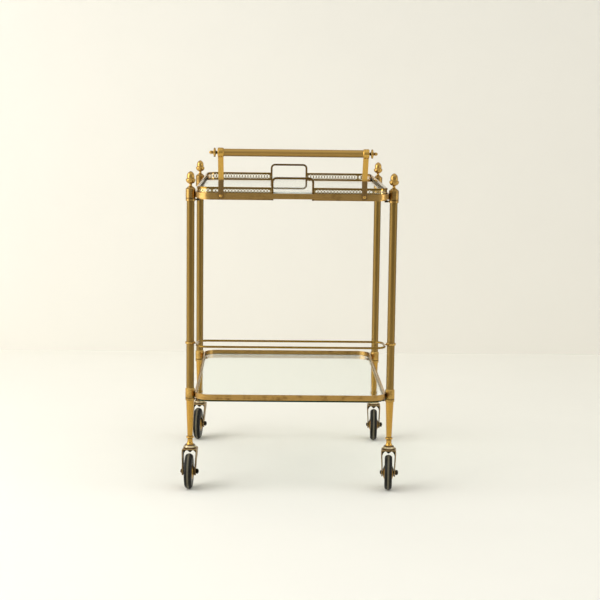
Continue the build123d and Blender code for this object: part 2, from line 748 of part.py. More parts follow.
def rail_ring(side):
    """A ring on a front leg with a short stud that reaches the rail."""
    middle = rail_height + ring_rise
    body = sleeve(ring_radius, tube_radius + press_gap, middle - ring_height / 2, middle + ring_height / 2)
    circles = body.edges().filter_by(GeomType.CIRCLE)
    outer = [edge for edge in circles if edge.radius > ring_radius - ring_wall / 2]
    body = fillet(outer, ring_rounding)
    stud = rod_x(ring_stud_diameter / 2, ring_radius - ring_wall / 2, ring_radius + rail_ring_gap - press_gap)
    body += Pos(0, 0, rail_height + ring_stud_rise) * stud
    return at_leg(inward(body, side), side, -1)


def build():
    """Every node by name, each a list of solids, still centred on the legs."""
    nodes = {}
    for name, (side, end) in corners.items():
        nodes[name + "_leg_tube"] = [at_leg(leg_tube(side), side, end)]
        nodes[name + "_finial"] = [at_leg(finial(), side, end)]
        nodes[name + "_upper_collar"] = [at_leg(top_collar(side), side, end)]
        nodes[name + "_lower_collar"] = [at_leg(shelf_collar(side), side, end)]
        nodes[name + "_foot"] = [at_leg(foot(), side, end)]
        nodes[name + "_caster_stem"] = [at_leg(caster_stem(), side, end)]
        swivel = Rot(0, 0, -caster_swivels[name])
        nodes[name + "_caster_fork"] = [at_leg(swivel * fork(), side, end)]
        nodes[name + "_wheel_hub"] = [at_leg(swivel * hub(), side, end)]
        nodes[name + "_tyre"] = [at_leg(swivel * tyre(), side, end)]
        nodes[name + "_axle_bolt"] = [at_leg(swivel * solid, side, end) for solid in axle_bolt()]
    nodes["upper_strip"] = [upper_strip()]
    nodes["lower_strip"] = [strip(shelf_strip_bottom)]
    nodes["shelf_glass"] = [shelf_glass()]
    nodes["strip_screws"] = strip_screws()
    nodes["support_pegs"] = pegs()
    nodes["peg_sleeves"] = peg_sleeves()
    nodes["tray_glass"] = [tray_glass()]
    for word, side in (("left", -1), ("right", 1)):
        nodes["tray_rim_" + word] = [tray_rim(side)]
        nodes["gallery_" + word] = gallery(side)
        nodes["handle_upright_" + word] = [Pos(side * upright_x, 0, 0) * upright()]
    nodes["tray_handle_front"] = [tray_handle(-1)]
    nodes["tray_handle_rear"] = [tray_handle(1)]
    nodes["handle_grip_tube"] = [grip_tube()]
    nodes["handle_knobs"] = [knob(), mirror(knob(), about=Plane.YZ)]
    nodes["handle_screws"] = [Pos(side * upright_x, 0, 0) * handle_screw() for side in (-1, 1)]
    nodes["bottle_rail"] = [bottle_rail()]
    nodes["bottle_rail_rings"] = [rail_ring(side) for side in (-1, 1)]
    return nodes


def main():
    nodes = build()
    solids = {name: [solid for shape in shapes for solid in shape.solids()] for name, shapes in nodes.items()}
    whole = Compound([solid for found in solids.values() for solid in found])
    middle = whole.bounding_box().center()
    to_origin = Pos(-middle.X, -middle.Y, 0)
    os.makedirs("parts", exist_ok=True)
    for name, found in solids.items():
        placed = [to_origin * solid for solid in found]
        export_step(placed[0] if len(placed) == 1 else Compound(placed), f"parts/{name}.step")
    print(f"{len(solids)} nodes, legs centred at {-middle.X:.4f}, {-middle.Y:.4f}")


if __name__ == "__main__":
    main()
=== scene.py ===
"""Bar cart in brass and glass: the finish of every piece, and a plain stage."""
import json
import math

import bpy
from bpy.props import FloatProperty, FloatVectorProperty, PointerProperty
from mathutils import Matrix, Vector


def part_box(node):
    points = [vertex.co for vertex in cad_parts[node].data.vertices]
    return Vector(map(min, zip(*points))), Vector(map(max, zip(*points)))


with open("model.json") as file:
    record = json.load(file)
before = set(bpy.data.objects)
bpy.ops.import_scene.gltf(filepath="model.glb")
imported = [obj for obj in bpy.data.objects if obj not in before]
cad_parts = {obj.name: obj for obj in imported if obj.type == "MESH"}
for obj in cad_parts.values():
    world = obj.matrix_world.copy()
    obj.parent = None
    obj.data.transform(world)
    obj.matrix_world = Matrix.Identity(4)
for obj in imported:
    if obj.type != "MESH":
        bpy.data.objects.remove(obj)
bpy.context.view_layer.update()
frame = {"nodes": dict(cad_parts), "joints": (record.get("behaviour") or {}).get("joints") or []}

bl_info = {
    "name": "Bar cart",
    "version": (1, 0, 0),
    "blender": (4, 5, 0),
    "location": "3D View > Sidebar > Bar cart",
    "description": "Finishes a two-tier brass and glass bar cart and sets it on a plain stage",
    "category": "Object",
}

MM = 0.001
CORNERS = ("front_left", "front_right", "rear_left", "rear_right")
SIDES = ("left", "right")
WHITE = (1.0, 1.0, 1.0)


def paint(red, green, blue):
    """A colour given in the 0 to 255 steps of a paint chart, as the linear values of a shader."""
    def step(value):
        value /= 255
        return value / 12.92 if value <= 0.04045 else ((value + 0.055) / 1.055) ** 2.4
    return step(red), step(green), step(blue)


def colour(name, description, default):
    return FloatVectorProperty(name=name, description=description, default=default,
                               size=3, min=0.0, max=1.0, subtype="COLOR")


def share(name, description, default):
    return FloatProperty(name=name, description=description, default=default,
                         min=0.0, max=1.0, subtype="FACTOR")


def length(name, description, default):
    return FloatProperty(name=name, description=description, default=default,
                         min=0.0, unit="LENGTH")


def power(name, description, default):
    return FloatProperty(name=name, description=description, default=default,
                         min=0.0, unit="POWER")


class CartFinishes(bpy.types.PropertyGroup):
    """Colours and wear of the cart's surfaces."""

    leg_brass: colour("Leg brass", "Satin brass of the leg tubes", paint(125, 99, 51))
    # Painted reflection: the legs' lower part is painted paler, standing in for the bright floor
    # they reflect
    floor_lit_leg_brass: colour("Rubbed leg brass", "Paler brass low down on the leg tubes",
                             paint(137, 109, 58))
    grip_brass: colour("Grip brass", "Brass of the push handle's tube", paint(176, 140, 76))
    collar_brass: colour("Collar brass", "Brass of the upper collars", paint(164, 130, 72))
    strip_brass: colour("Strip brass", "Brass of the flat strips, the tray rim and the pegs",
                        paint(178, 141, 80))
    polished_brass: colour("Polished brass",
                           "Brass of the finials, knobs, hubs, rings and lower collars",
                           paint(189, 151, 82))
    upright_brass: colour("Upright brass", "Brass of the push handle's uprights",
                          paint(201, 159, 79))
    foot_brass: colour("Foot brass", "Brass of the feet", paint(192, 149, 72))
    wire_brass: colour("Wire brass", "Wire of the bottle rail", paint(142, 110, 46))
    handle_wire_brass: colour("Handle wire brass", "Wire of the tray's handles",
                              paint(98, 74, 33))
    gallery_brass: colour("Gallery brass", "Bead along the top of the gallery",
                          paint(138, 105, 40))
    # The webs' paler brass is partly wear and partly a painted highlight
    worn_and_lit_web_brass: colour("Web brass", "Thin brass between the gallery's holes", paint(196, 168, 110))
    caster_brass: colour("Caster brass", "Dull plating of the caster forks",
                         paint(156, 130, 86))
    # Also painted as shade: in the collar grooves, beside the ankle rings, on the swivel race and
    # under the grip tube
    tarnish: colour("Tarnish", "Brown that gathers in recesses and old handling marks",
                    paint(84, 60, 30))
    # Painted reflection: the uprights are painted browner below their bend
    upright_dark_reflection: colour("Upright tarnish", "Brown of the uprights below their bend",
                            paint(152, 120, 72))
    steel: colour("Steel", "Oiled steel of the axle bolts", paint(64, 57, 48))
    race_steel: colour("Race steel", "Worn nickel of the swivel's race", paint(206, 188, 150))
    grime: colour("Grime", "Dark brown on the forks and in the hollows of the finials and knobs",
                  paint(66, 48, 26))
    # Also painted as shade inside the forks and on the swivel pin below the race
    grease_and_shade: colour("Grease", "Black grease and grime round the swivels", paint(22, 18, 12))
    rubber: colour("Rubber", "Black rubber of the tyres and peg sleeves", paint(17, 17, 14))
    tread: colour("Tread", "Worn grey band round the tyres", paint(104, 98, 80))
    glass: colour("Glass", "Tint of the glass", paint(252, 254, 252))
    glass_depth: colour("Glass depth", "What long paths through the glass turn to",
                        (0.0, 0.54, 0.43))
    shelf_edge: colour("Shelf edge", "Dark green seen in the lower pane's edge",
                       paint(0, 140, 90))
    shelf_sheen: colour("Shelf sheen", "Green tint of what the lower pane reflects square on",
                        (0.10, 0.50, 0.30))
    tray_edge: colour("Tray edge", "Pale ground edge of the tray's pane", paint(247, 253, 242))
    wear: share("Wear", "How much the edges are rubbed bright", 0.55)
    edge_rounding: length("Edge rounding", "Radius of the softened edges of flat brass",
                          0.35 * MM)


class CartStage(bpy.types.PropertyGroup):
    """The floor, wall, lamps and camera."""

    floor: colour("Floor", "Pale floor", paint(242, 239, 228))
    wall: colour("Wall", "Cream wall", paint(238, 234, 223))
    wall_distance: length("Wall distance", "From the cart's middle back to the wall", 1.47)
    floor_front: length("Floor front", "From the cart's middle to the floor's front edge", 2.8)
    key_power: power("Key lamp", "Power of the tall soft lamp on the left", 56.0)
    side_power: power("Side lamp", "Power of the narrow soft lamp low on the right", 8.0)
    sky_strength: FloatProperty(name="Room light", default=0.96, min=0.0,
                                description="Brightness of the room round the cart")
    lens: FloatProperty(name="Lens", default=92.76, min=10.0,
                        description="Focal length of the camera on a 36 mm wide sensor")
    camera_height: length("Camera height", "Height of the lens above the floor", 0.8519)


# Node trees

def new_material(name):
    material = bpy.data.materials.new(name)
    material.use_nodes = True
    material.node_tree.nodes.clear()
    return material, material.node_tree


def add(tree, kind, sockets=None, **settings):
    """One node. Sockets maps an input's name or number to a value or to another node's output."""
    node = tree.nodes.new(kind)
    for key, value in settings.items():
        setattr(node, key, value)
    for key, value in (sockets or {}).items():
        socket = node.inputs[key]
        if isinstance(value, bpy.types.NodeSocket):
            tree.links.new(value, socket)
        else:
            socket.default_value = value
    return node


def calculate(tree, operation, first, second=0.0, clamp=False):
    return add(tree, "ShaderNodeMath", {0: first, 1: second},
               operation=operation, use_clamp=clamp).outputs[0]


def plus(tree, first, second, clamp=False):
    return calculate(tree, "ADD", first, second, clamp)


def minus(tree, first, second):
    return calculate(tree, "SUBTRACT", first, second)


def times(tree, first, second):
    return calculate(tree, "MULTIPLY", first, second)


def larger(tree, first, second):
    return calculate(tree, "MAXIMUM", first, second)


def unsigned(tree, value):
    return calculate(tree, "ABSOLUTE", value)


def ramp(tree, value, low, high, start=0.0, end=1.0, smooth=False):
    """Value moved from the range low..high to start..end and held inside it."""
    kind = "SMOOTHSTEP" if smooth else "LINEAR"
    sockets = {"Value": value, "From Min": low, "From Max": high, "To Min": start, "To Max": end}
    return add(tree, "ShaderNodeMapRange", sockets, interpolation_type=kind).outputs[0]


def blend_colour(tree, factor, first, second):
    """The first colour where the factor is 0, and the second where it is 1."""
    node = add(tree, "ShaderNodeMix", data_type="RGBA")
    factor_in, first_in, second_in = node.inputs[0], node.inputs[6], node.inputs[7]
    tree.links.new(factor, factor_in)
    for socket, value in ((first_in, first), (second_in, second)):
        if isinstance(value, bpy.types.NodeSocket):
            tree.links.new(value, socket)
        else:
            socket.default_value = (*value, 1.0)
    return node.outputs[2]


def noise(tree, vector, scale, detail=2.0, roughness=0.5):
    sockets = {"Vector": vector, "Scale": scale, "Detail": detail, "Roughness": roughness}
    return add(tree, "ShaderNodeTexNoise", sockets).outputs[0]


def object_place(tree):
    return add(tree, "ShaderNodeTexCoord").outputs["Object"]


def along_axes(tree, vector):
    return add(tree, "ShaderNodeSeparateXYZ", {0: vector}).outputs


def height_in(tree):
    return along_axes(tree, object_place(tree))[2]


def facing_way(tree):
    return add(tree, "ShaderNodeNewGeometry").outputs["Normal"]


def stretched(tree, vector, scale):
    return add(tree, "ShaderNodeMapping", {"Vector": vector, "Scale": scale}).outputs[0]


def wheel_place(tree, centre, axle):
    """Places measured from a wheel's centre, with X along its axle."""
    turn = math.atan2(axle[1], axle[0])
    sockets = {"Vector": object_place(tree), "Location": centre, "Rotation": (0.0, 0.0, turn)}
    return add(tree, "ShaderNodeMapping", sockets, vector_type="TEXTURE").outputs[0]


def turned_place(tree, place):
    """What turning marks follow, made of the distance along X and the distance from the X axis.

    Gives those two distances as well.
    """
    parts = along_axes(tree, place)
    ring = add(tree, "ShaderNodeCombineXYZ", {1: parts[1], 2: parts[2]}).outputs[0]
    radius = add(tree, "ShaderNodeVectorMath", {0: ring}, operation="LENGTH").outputs["Value"]
    turned = add(tree, "ShaderNodeCombineXYZ", {0: parts[0], 1: radius}).outputs[0]
    return turned, parts[0], radius


def finish_tree(tree, shader):
    add(tree, "ShaderNodeOutputMaterial", {"Surface": shader})


# Finishes

# What tarnish is made of, where it starts and is full, and how far a piece's cover moves that
MARKS_SHARE, BLOTCH_SHARE, HAZE_SHARE = 0.36, 0.42, 0.22
TARNISH_STARTS, TARNISH_FULL, COVER_SHIFT = 0.60, 0.74, 0.28
LEAST_TARNISH = 0.35
TARNISH_ROUGHER = 0.14
SPECK_STARTS, SPECK_FULL = 0.66, 0.76
SPECK_DARK, SPECK_COVER = 0.30, 0.3
# How open a recess is where it is darkest and where it ends
RECESS_CLOSED, RECESS_OPEN, RECESS_DARK = 0.35, 0.85, 0.8
# How far the rounded surface faces the true surface's way on a flat and on an edge
FLAT_AGREES, EDGE_AGREES = 0.985, 0.90
RUBBED_BRIGHTER = 1.28
RUBBED_REACH = 0.5 * MM
MARKS_LOW, MARKS_HIGH = 0.3, 0.7
HAZE_RELIEF, SPECK_RELIEF = 0.6, 0.5
RELIEF_DEPTH = 0.06 * MM


def metal(name, base, *, grain, roughness, cover, place=None, stain=None, wear=0.5, recess=3.0,
          bump=0.35, tint=None):
    """Old metal: tarnish in blotches, specks and recesses, rubbed edges, and marks along the grain.

    Grain is the marks' closeness along X, Y and Z. Roughness is its least and most. Cover is the
    tarnish's share, stain its colour, and recess how many millimetres wide a darkened hollow is.
    Wear is how bright the edges are rubbed, and bump how deep the marks are. Place gives the
    grain's own directions, and tint changes the base colour from place to place.
    """
    material, tree = new_material(name)
    finishes = bpy.context.scene.cart_finishes
    where = object_place(tree)
    directions = stretched(tree, place(tree) if place else where, grain)
    marks = noise(tree, directions, scale=1.0, detail=4.0, roughness=0.62)
    blotch = noise(tree, where, scale=24.0, detail=5.0, roughness=0.6)
    haze = noise(tree, where, scale=95.0, detail=3.0, roughness=0.55)
    speck = ramp(tree, noise(tree, where, scale=620.0, detail=2.0, roughness=0.6),
                 SPECK_STARTS, SPECK_FULL)

    mixed = plus(tree, times(tree, blotch, BLOTCH_SHARE), times(tree, marks, MARKS_SHARE))
    mixed = plus(tree, mixed, times(tree, haze, HAZE_SHARE))
    spread = ramp(tree, mixed, TARNISH_STARTS - COVER_SHIFT * cover,
                  TARNISH_FULL - COVER_SHIFT * cover, 0.0, min(1.0, LEAST_TARNISH + cover),
                  smooth=True)
    openness = add(tree, "ShaderNodeAmbientOcclusion", {"Distance": recess * MM},
                   samples=6, only_local=False).outputs["AO"]
    recessed = ramp(tree, openness, RECESS_CLOSED, RECESS_OPEN, RECESS_DARK, 0.0)
    dark = larger(tree, spread, recessed)
    dark = plus(tree, dark, times(tree, speck, SPECK_DARK + SPECK_COVER * cover), clamp=True)

    rounded = add(tree, "ShaderNodeBevel", {"Radius": RUBBED_REACH}, samples=4).outputs[0]
    agree = add(tree, "ShaderNodeVectorMath", {0: rounded, 1: facing_way(tree)},
                operation="DOT_PRODUCT").outputs["Value"]
    edge = ramp(tree, agree, FLAT_AGREES, EDGE_AGREES, 0.0, wear * finishes.wear)
    dark = times(tree, dark, minus(tree, 1.0, edge))

    ground = tint(tree, base) if tint else base
    stained = blend_colour(tree, dark, ground, stain or tuple(finishes.tarnish))
    bright = tuple(min(1.0, value * RUBBED_BRIGHTER) for value in base)
    worn = blend_colour(tree, edge, stained, bright)
    rough = ramp(tree, marks, MARKS_LOW, MARKS_HIGH, *roughness)
    rough = plus(tree, rough, times(tree, dark, TARNISH_ROUGHER), clamp=True)
    height = plus(tree, marks, times(tree, haze, HAZE_RELIEF))
    height = minus(tree, height, times(tree, speck, SPECK_RELIEF))
    relief = add(tree, "ShaderNodeBump",
                 {"Strength": bump, "Distance": RELIEF_DEPTH, "Height": height}).outputs[0]
    shader = add(tree, "ShaderNodeBsdfPrincipled",
                 {"Base Color": worn, "Metallic": 1.0, "Roughness": rough, "Normal": relief})
    finish_tree(tree, shader.outputs[0])
    return material


DUST_STARTS, DUST_FULL = 0.42, 0.72
DUST_BRIGHTER, DUST_GREY = 1.8, 0.004
RUBBER_ROUGHNESS = (0.30, 0.46)
RUBBER_SHINE = 0.14
RUBBER_BUMP, RUBBER_RELIEF_DEPTH = 0.4, 0.12 * MM
MOULDING_RINGS = (900.0, 900.0, 1.0)
# The worn band: half its width, where it fades out, and its distance from the axle
TREAD_HALF_WIDTH, TREAD_EDGE = 1.7 * MM, 2.3 * MM
TREAD_SHOULDER, TREAD_RADIUS = 35.0 * MM, 36.5 * MM
TREAD_SCUFFED, TREAD_CLEAN, SCUFFED_SHARE = 0.25, 0.6, 0.55


def rubber(name, centre=None, axle=None):
    """Dull black rubber with scuffs, and on a tyre the paler worn band round the tread."""
    material, tree = new_material(name)
    finishes = bpy.context.scene.cart_finishes
    where = object_place(tree)
    dust = noise(tree, where, scale=70.0, detail=4.0, roughness=0.65)
    scuff = noise(tree, where, scale=520.0, detail=3.0, roughness=0.6)
    black = tuple(finishes.rubber)
    dusty = tuple(value * DUST_BRIGHTER + DUST_GREY for value in black)
    shade = blend_colour(tree, ramp(tree, dust, DUST_STARTS, DUST_FULL), black, dusty)
    rough = ramp(tree, scuff, MARKS_LOW, MARKS_HIGH, *RUBBER_ROUGHNESS)
    if centre:
        turned, along, radius = turned_place(tree, wheel_place(tree, centre, axle))
        band = ramp(tree, unsigned(tree, along), TREAD_EDGE, TREAD_HALF_WIDTH)
        tread = times(tree, band, ramp(tree, radius, TREAD_SHOULDER, TREAD_RADIUS))
        scuffed = ramp(tree, scuff, TREAD_SCUFFED, TREAD_CLEAN, SCUFFED_SHARE, 1.0)
        shade = blend_colour(tree, times(tree, tread, scuffed), shade, tuple(finishes.tread))
        rings = noise(tree, stretched(tree, turned, MOULDING_RINGS), scale=1.0)
        scuff = plus(tree, scuff, rings)
    relief = add(tree, "ShaderNodeBump", {
        "Strength": RUBBER_BUMP, "Distance": RUBBER_RELIEF_DEPTH, "Height": scuff}).outputs[0]
    shader = add(tree, "ShaderNodeBsdfPrincipled", {
        "Base Color": shade, "Roughness": rough, "Specular IOR Level": RUBBER_SHINE,
        "Normal": relief})
    finish_tree(tree, shader.outputs[0])
    return material


GLASS_IOR = 1.5
WIPE_MARKS = (5.0, 14.0, 5.0)
WIPE_STARTS, WIPE_FULL, WIPED_ROUGHNESS = 0.45, 0.75, 0.035
# How far a pane's face and its edge look straight up or down
FACE_UPRIGHT, EDGE_UPRIGHT = 0.95, 0.75


def clear_glass(name, *, edge_colour, edge_roughness, density, sheen=WHITE, frost=0.0):
    """Clear float glass with faint wipe marks and ground edges, through which lamps shine.

    Density is how soon long paths through it turn green. Sheen tints what it reflects where it is
    seen square on, as its edges are. Frost is how milky the ground edges are.
    """
    material, tree = new_material(name)
    finishes = bpy.context.scene.cart_finishes
    wiped = noise(tree, stretched(tree, object_place(tree), WIPE_MARKS), scale=1.0, detail=5.0,
                  roughness=0.6)
    upward = along_axes(tree, facing_way(tree))[2]
    edge = ramp(tree, unsigned(tree, upward), FACE_UPRIGHT, EDGE_UPRIGHT)
    tint = blend_colour(tree, edge, tuple(finishes.glass), edge_colour)
    rough = ramp(tree, wiped, WIPE_STARTS, WIPE_FULL, 0.0, WIPED_ROUGHNESS)
    rough = plus(tree, rough, times(tree, edge, edge_roughness))
    clear = minus(tree, 1.0, times(tree, edge, frost)) if frost else 1.0
    glass = add(tree, "ShaderNodeBsdfPrincipled", {
        "Base Color": tint, "Roughness": rough, "IOR": GLASS_IOR, "Transmission Weight": clear,
        "Specular Tint": (*sheen, 1.0)})
    passing = add(tree, "ShaderNodeBsdfTransparent", {"Color": (*finishes.glass, 1.0)})
    lamps = add(tree, "ShaderNodeLightPath").outputs["Is Shadow Ray"]
    both = add(tree, "ShaderNodeMixShader",
               {0: lamps, 1: glass.outputs[0], 2: passing.outputs[0]})
    depth = add(tree, "ShaderNodeVolumeAbsorption",
                {"Color": (*finishes.glass_depth, 1.0), "Density": density})
    add(tree, "ShaderNodeOutputMaterial", {"Surface": both.outputs[0], "Volume": depth.outputs[0]})
    return material


def dress(material, *names):
    for name in names:
        node = frame["nodes"][name]
        node.data.materials.clear()
        node.data.materials.append(material)


SEAM_GAP = 0.001 * MM
FLAT_ANGLE = math.radians(0.4)
SHARP_ANGLE = math.radians(32.0)
EDGE_STEPS = 2


def joined_seams():
    """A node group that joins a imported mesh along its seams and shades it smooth."""
    group = bpy.data.node_groups.get("Join seams")
    if group:
        return group
    group = bpy.data.node_groups.new("Join seams", "GeometryNodeTree")
    for way in ("INPUT", "OUTPUT"):
        group.interface.new_socket("Geometry", in_out=way, socket_type="NodeSocketGeometry")
    start = group.nodes.new("NodeGroupInput")
    joined = add(group, "GeometryNodeMergeByDistance",
                 {"Geometry": start.outputs[0], "Distance": SEAM_GAP})
    smooth = add(group, "GeometryNodeSetShadeSmooth",
                 {"Geometry": joined.outputs[0], "Shade Smooth": True})
    end = group.nodes.new("NodeGroupOutput")
    group.links.new(smooth.outputs[0], end.inputs[0])
    return group


def soften(width, *names):
    """Rounds a flat piece's edges, as filing and handling do."""
    for name in names:
        node = frame["nodes"][name]
        node.modifiers.new("Join seams", "NODES").node_group = joined_seams()
        flat = node.modifiers.new("Whole faces", "DECIMATE")
        flat.decimate_type = "DISSOLVE"
        flat.angle_limit = FLAT_ANGLE
        edge = node.modifiers.new("Soft edges", "BEVEL")
        edge.width = width
        edge.segments = EDGE_STEPS
        edge.limit_method = "ANGLE"
        edge.angle_limit = SHARP_ANGLE
        edge.miter_outer = "MITER_ARC"
        node.modifiers.new("Even shading", "WEIGHTED_NORMAL").keep_sharp = True


def each(piece):
    """The names of a piece that is there once at every leg."""
    return [f"{corner}_{piece}" for corner in CORNERS]


def both_sides(piece):
    return [f"{piece}_{side}" for side in SIDES]


def bottom_of(name):
    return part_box(name)[0][2]


def top_of(name):
    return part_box(name)[1][2]


def wheel_axes():
    """Each corner's name with its wheel's centre and the direction of its axle."""
    joints = {joint["name"]: joint for joint in frame["joints"]}
    for corner in CORNERS:
        spin = joints[corner + "_spin"]
        yield corner, spin["pos_m"], spin["axis"]


# Operators

# Heights between which the legs' painted floor reflection fades in
LEG_LIT_BELOW = 0.32
LEG_DARK_ABOVE = 0.50
LEG_UNEVENNESS = 60.0 * MM


class CART_OT_legs(bpy.types.Operator):
    """Satin brass on the four leg tubes, with fine marks along their length"""

    bl_idname = "cart.legs"
    bl_label = "Legs"
    bl_options = {"REGISTER", "UNDO"}

    def execute(self, context):
        finishes = context.scene.cart_finishes
        # The paler brass painted low on the legs as a reflection of the floor
        rubbed = tuple(finishes.floor_lit_leg_brass)

        def floor_reflection_below(tree, base):
            """Painted reflection: paler below, where the legs reflect the bright floor"""
            uneven = times(tree, noise(tree, object_place(tree), scale=30.0), LEG_UNEVENNESS)
            height = plus(tree, height_in(tree), uneven)
            low = ramp(tree, height, LEG_DARK_ABOVE, LEG_LIT_BELOW)
            return blend_colour(tree, low, base, rubbed)

        legs = metal("leg satin brass", tuple(finishes.leg_brass), grain=(900.0, 900.0, 5.0),
                     roughness=(0.36, 0.48), cover=0.12, bump=0.7, tint=floor_reflection_below)
        dress(legs, *each("leg_tube"))
        return {"FINISHED"}


COLLAR_GROOVE = 5.6 * MM
# Painted shade in the collar's groove: where it is full, where it ends, and how much of the tarnish
# brown it takes
GROOVE_DARK, GROOVE_SHADE_ENDS = 0.8 * MM, 1.3 * MM
GROOVE_SHADE_DEPTH = 0.9


class CART_OT_collars(bpy.types.Operator):
    """Turned collars that join the strips to the legs"""

    bl_idname = "cart.collars"
    bl_label = "Collars"
    bl_options = {"REGISTER", "UNDO"}

    def execute(self, context):
        finishes = context.scene.cart_finishes
        # The tarnish brown, used here as painted shade in the groove
        tarnish = tuple(finishes.tarnish)
        for level, brass in (("upper", finishes.collar_brass), ("lower", finishes.polished_brass)):
            groove = bottom_of(f"{CORNERS[0]}_{level}_collar") + COLLAR_GROOVE

            def groove_shade(tree, base):
                """Painted shade: brown in the turned groove near the collar's lower end"""
                away = unsigned(tree, minus(tree, height_in(tree), groove))
                near = ramp(tree, away, GROOVE_DARK, GROOVE_SHADE_ENDS, GROOVE_SHADE_DEPTH, 0.0)
                return blend_colour(tree, near, base, tarnish)

            collars = metal(level + " collar brass", tuple(brass), grain=(60.0, 60.0, 1600.0),
                            roughness=(0.22, 0.34), cover=0.4, recess=4.0, tint=groove_shade)
            dress(collars, *each(level + "_collar"))
        return {"FINISHED"}


class CART_OT_finials(bpy.types.Operator):
    """Polished acorn finials"""

    bl_idname = "cart.finials"
    bl_label = "Finials"
    bl_options = {"REGISTER", "UNDO"}

    def execute(self, context):
        finishes = context.scene.cart_finishes
        finials = metal("finial polished brass", tuple(finishes.polished_brass),
                        grain=(50.0, 50.0, 1500.0), roughness=(0.14, 0.24), cover=0.3,
                        stain=tuple(finishes.grime), recess=9.0, bump=0.2)
        dress(finials, *each("finial"))
        return {"FINISHED"}


# The ankle ring's height on the foot, and distances from it
ANKLE_RING = 15.7 * MM
RING_HALF, HOLLOW_STARTS = 1.3 * MM, 2.1 * MM
HOLLOW_DARK, HOLLOW_ENDS = 2.6 * MM, 4.6 * MM
FOOT_EDGE = 1.6 * MM
# How dark the painted shade is beside the ring and at the foot's lower edge
HOLLOW_SHADE, FOOT_EDGE_SHADE = 0.75, 0.9


class CART_OT_feet(bpy.types.Operator):
    """Tapered feet, polished along their length"""

    bl_idname = "cart.feet"
    bl_label = "Feet"
    bl_options = {"REGISTER", "UNDO"}

    def execute(self, context):
        finishes = context.scene.cart_finishes
        foot_bottom = bottom_of(CORNERS[0] + "_foot")
        ring = foot_bottom + ANKLE_RING
        # The tarnish brown, used here as painted shade beside the ring
        tarnish = tuple(finishes.tarnish)

        def shade_beside_ring(tree, base):
            """Painted shade: brown in the hollows beside the ankle ring and at the foot's lower
            edge
            """
            away = unsigned(tree, minus(tree, height_in(tree), ring))
            near = ramp(tree, away, HOLLOW_DARK, HOLLOW_ENDS, HOLLOW_SHADE, 0.0)
            clear = ramp(tree, away, RING_HALF, HOLLOW_STARTS)
            low = ramp(tree, height_in(tree), foot_bottom + FOOT_EDGE, foot_bottom,
                       0.0, FOOT_EDGE_SHADE)
            return blend_colour(tree, larger(tree, times(tree, near, clear), low), base, tarnish)

        feet = metal("foot polished brass", tuple(finishes.foot_brass),
                     grain=(800.0, 800.0, 14.0), roughness=(0.20, 0.32), cover=0.2, bump=0.2,
                     tint=shade_beside_ring)
        dress(feet, *each("foot"))
        return {"FINISHED"}


# Where a fork's arms bend outwards above the axle, and half the gap between them there
FORK_BEND_LOW, FORK_BEND_HIGH = 11.0 * MM, 36.5 * MM
FORK_GAP_LOW, FORK_GAP_HIGH = 12.2 * MM, 13.5 * MM
CROWN_THICKNESS = 2.8 * MM
# Where the painted shade ends beyond the arms' inner faces and under the crown, and where it is
# full
ARM_SHADE_ENDS, ARM_SHADE_FULL = 0.5 * MM, 0.2 * MM
CROWN_SHADE_ENDS, CROWN_SHADE_FULL = 0.4 * MM, 0.1 * MM
# Heights above the fork's crown
RACE_LIP, RACE_LIP_TOP = 2.2 * MM, 2.7 * MM
RACE_CONE_TOP, RACE_TOP = 5.2 * MM, 6.2 * MM
PIN_BLACK_BELOW = -0.5 * MM


